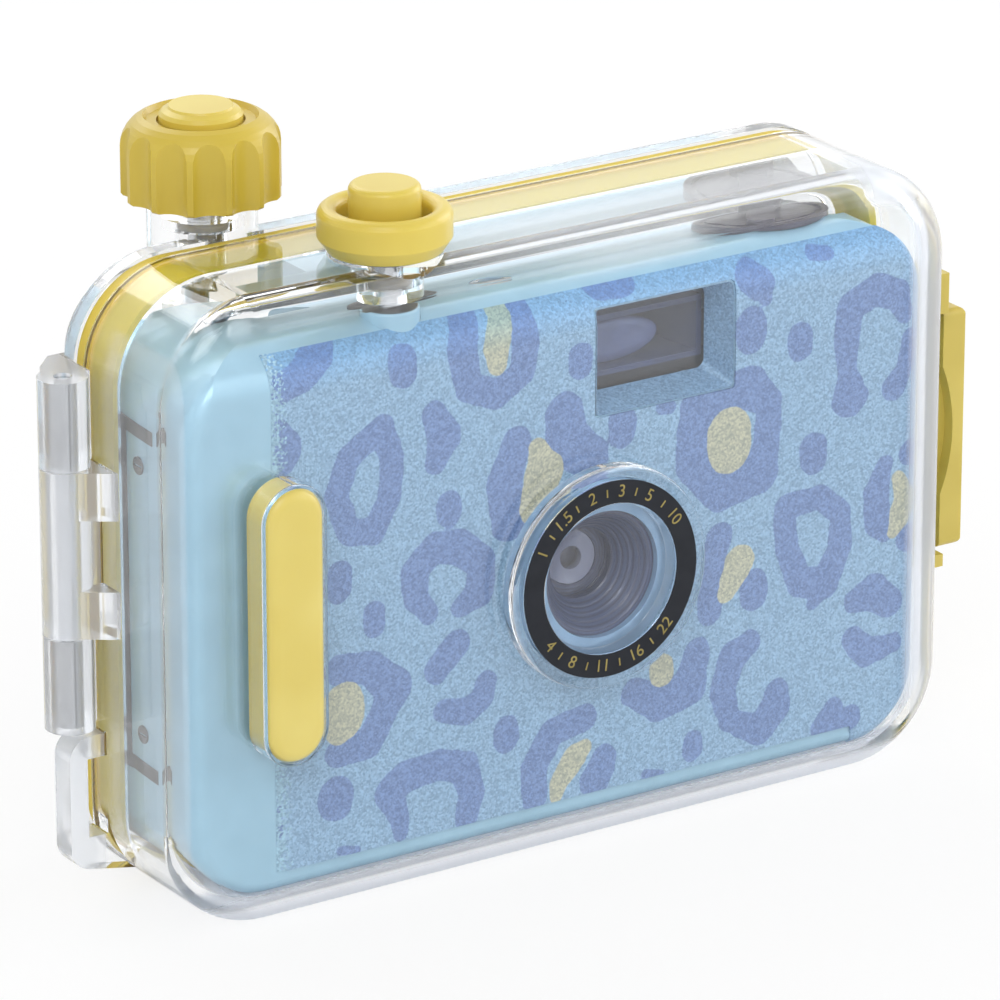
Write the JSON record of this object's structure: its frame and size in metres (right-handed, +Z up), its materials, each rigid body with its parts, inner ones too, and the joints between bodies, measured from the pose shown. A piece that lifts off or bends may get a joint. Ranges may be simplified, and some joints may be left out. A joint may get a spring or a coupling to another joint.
{
  "type": "waterproof film camera",
  "caption": "Film camera in a clear snap-shut underwater case with a hinged back, side latch, winding knob and shutter button.",
  "frame": {"origin": "on the flat base, midway along it, on the line where the two case shells part", "axes": "+X to the viewer's right along the case, +Y from the lens to the hinged back, +Z up"},
  "size_m": [0.1401, 0.0473, 0.1033],
  "materials": {
    "clear_case": "clear moulded plastic",
    "seal_yellow": "soft yellow silicone, slightly see-through",
    "yellow": "satin yellow plastic",
    "dark_print": "near-black print with gold ticks and figures",
    "steel": "bright steel",
    "seal_black": "black rubber",
    "white_nylon": "off-white nylon",
    "aqua": "pale aqua plastic",
    "print_skin": "printed skin, pale blue with spots",
    "aqua_deep": "aqua plastic",
    "grey_plastic": "grey plastic",
    "optic": "clear moulded lens plastic",
    "black_plastic": "black plastic",
    "cartridge_tin": "painted tin",
    "film_base": "brown film"
  },
  "bodies": {
    "case_and_camera": {"front_shell": "clear_case", "grip_pad": "yellow", "shutter_ring": "yellow", "lens_port_ring": "dark_print", "shutter_spring": "steel", "shutter_blade_pin": "steel", "chassis_screws": "steel", "pressure_spring": "steel", "button_spring": "steel", "shutter_seal": "seal_black", "front_cover": "aqua", "top_deck": "aqua", "print_panel": "print_skin", "lens_collar": "aqua_deep", "lens_barrel": "grey_plastic", "lens_element": "optic", "finder_window": "optic", "finder_eyepiece": "optic", "counter_window": "optic", "shutter_plate": "black_plastic", "finder_tunnel": "black_plastic", "chassis": "black_plastic", "film_door": "black_plastic", "film_door_catch": "black_plastic", "pressure_plate": "black_plastic", "counter_bridge": "black_plastic", "film_cartridge": "cartridge_tin", "film_strip": "film_base"},
    "door": {"rear_shell": "clear_case", "hinge_pin": "steel", "gasket": "seal_yellow", "knob_seal": "seal_black", "latch_pivot_pins": "steel"},
    "winding_knob": {"wind_knob": "yellow", "knob_cap": "yellow", "knob_shaft": "steel", "knob_clip": "steel", "drive_gear": "white_nylon"},
    "lever": {"latch_lever": "yellow", "latch_link_pin": "steel"},
    "link": {"latch_link": "yellow"},
    "plunger": {"shutter_cap": "yellow", "shutter_rod": "steel", "shutter_clip": "steel"},
    "body_button": {"camera_button": "aqua"},
    "blade": {"shutter_blade": "steel"},
    "take_up": {"thumbwheel": "black_plastic", "take_up_spool": "black_plastic"},
    "sprocket_shaft": {"sprocket": "white_nylon"},
    "rewind": {"rewind_disc": "grey_plastic", "crank_handle": "grey_plastic", "rewind_fork": "black_plastic"},
    "counter": {"counter_dial": "white_nylon"}
  },
  "joints": [
    {"name": "door_swing", "type": "hinge", "parent": "case_and_camera", "child": "door", "pos_m": [-0.0663, -0.0047, 0.05], "axis": [0, 0, 1], "range_deg": [0, 110]},
    {"name": "lever_swing", "type": "hinge", "parent": "door", "child": "lever", "pos_m": [0.0644, 0.0058, 0.0445], "axis": [0, 0, 1], "range_deg": [0, 105]},
    {"name": "link_swing", "type": "hinge", "parent": "lever", "child": "link", "pos_m": [0.065, 0.0098, 0.0445], "axis": [0, 0, 1], "range_deg": [0, 4.5]},
    {"name": "knob_turn", "type": "hinge", "parent": "door", "child": "winding_knob", "pos_m": [-0.0379, 0.0071, 0.096], "axis": [0, 0, 1], "continuous": true},
    {"name": "take_up_turn", "type": "hinge", "parent": "case_and_camera", "child": "take_up", "pos_m": [-0.0379, -0.0057, 0.073], "axis": [0, 0, 1], "continuous": true},
    {"name": "sprocket_turn", "type": "hinge", "parent": "case_and_camera", "child": "sprocket_shaft", "pos_m": [-0.0215, 0.0009, 0.0387], "axis": [0, 0, 1], "continuous": true},
    {"name": "rewind_turn", "type": "hinge", "parent": "case_and_camera", "child": "rewind", "pos_m": [0.0408, -0.0074, 0.079], "axis": [0, 0, 1], "continuous": true},
    {"name": "counter_turn", "type": "hinge", "parent": "case_and_camera", "child": "counter", "pos_m": [-0.004, -0.009, 0.0764], "axis": [0, 0, 1], "continuous": true},
    {"name": "plunger_press", "type": "slide", "parent": "case_and_camera", "child": "plunger", "axis": [0, 0, -1], "range_m": [0, 0.0015], "stiffness_N_per_m": 400, "deforming": ["shutter_spring"]},
    {"name": "body_button_press", "type": "slide", "parent": "case_and_camera", "child": "body_button", "axis": [0, 0, -1], "range_m": [0, 0.0015]},
    {"name": "blade_swing", "type": "hinge", "parent": "case_and_camera", "child": "blade", "pos_m": [0.0122, -0.0131, 0.0327], "axis": [0, 1, 0], "range_deg": [0, 30]}
  ],
  "couplings": [
    {"joint": "take_up_turn", "follows": "knob_turn", "ratio": -0.4545},
    {"joint": "sprocket_turn", "follows": "knob_turn", "ratio": -0.5034},
    {"joint": "rewind_turn", "follows": "knob_turn", "ratio": -0.3384},
    {"joint": "counter_turn", "follows": "knob_turn", "ratio": -0.0126},
    {"joint": "body_button_press", "follows": "plunger_press", "ratio": 1},
    {"joint": "blade_swing", "follows": "plunger_press", "rad_per_m": 349}
  ]
}
